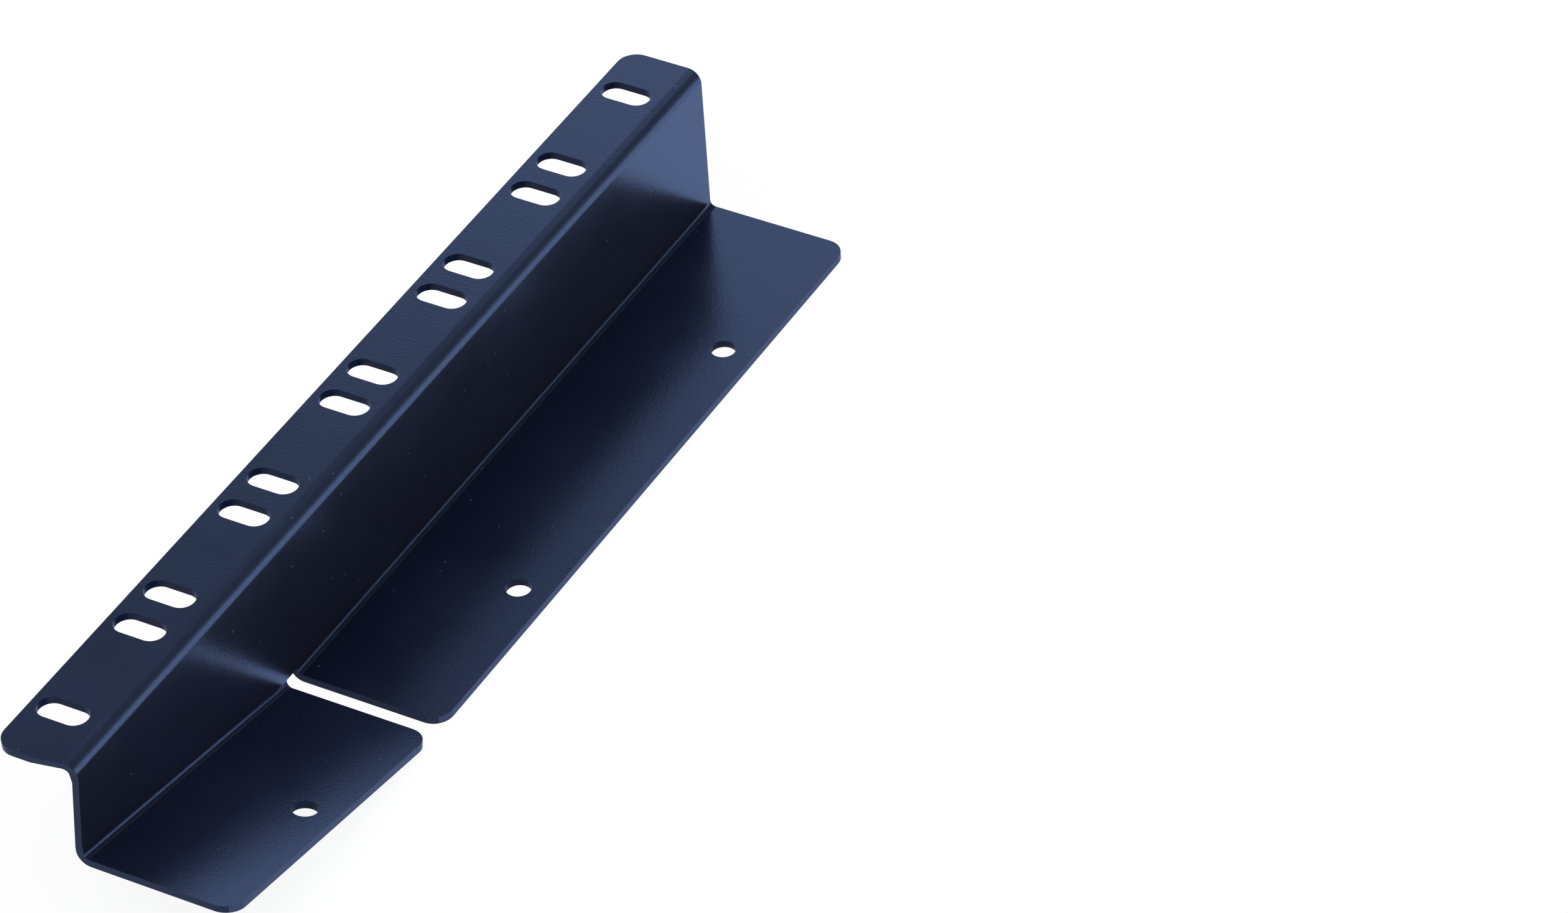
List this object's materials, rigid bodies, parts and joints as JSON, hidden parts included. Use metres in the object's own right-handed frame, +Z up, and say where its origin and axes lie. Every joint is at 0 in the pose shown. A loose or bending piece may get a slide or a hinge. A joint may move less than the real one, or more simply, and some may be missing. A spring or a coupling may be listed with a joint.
{
  "type": "rack mount ear bracket",
  "caption": "Folded Z-section steel ear bracket: a slotted flange for the rack rail, an offset web, and a drilled foot flange with a raked end tab.",
  "frame": {"origin": "middle of the bounding box's base, on the plane of the foot flange's underside", "axes": "+Y along the folds, from the raked tab's end to the foot flange's far end; +X across, from the rack flange's free edge to the foot flange's free edge; +Z up, from the foot flange to the rack flange"},
  "size_m": [0.0604, 0.2858, 0.044],
  "materials": {
    "powder_coat": "satin black powder coat"
  },
  "bodies": {
    "root": {"ear_bracket": "powder_coat"}
  },
  "joints": []
}
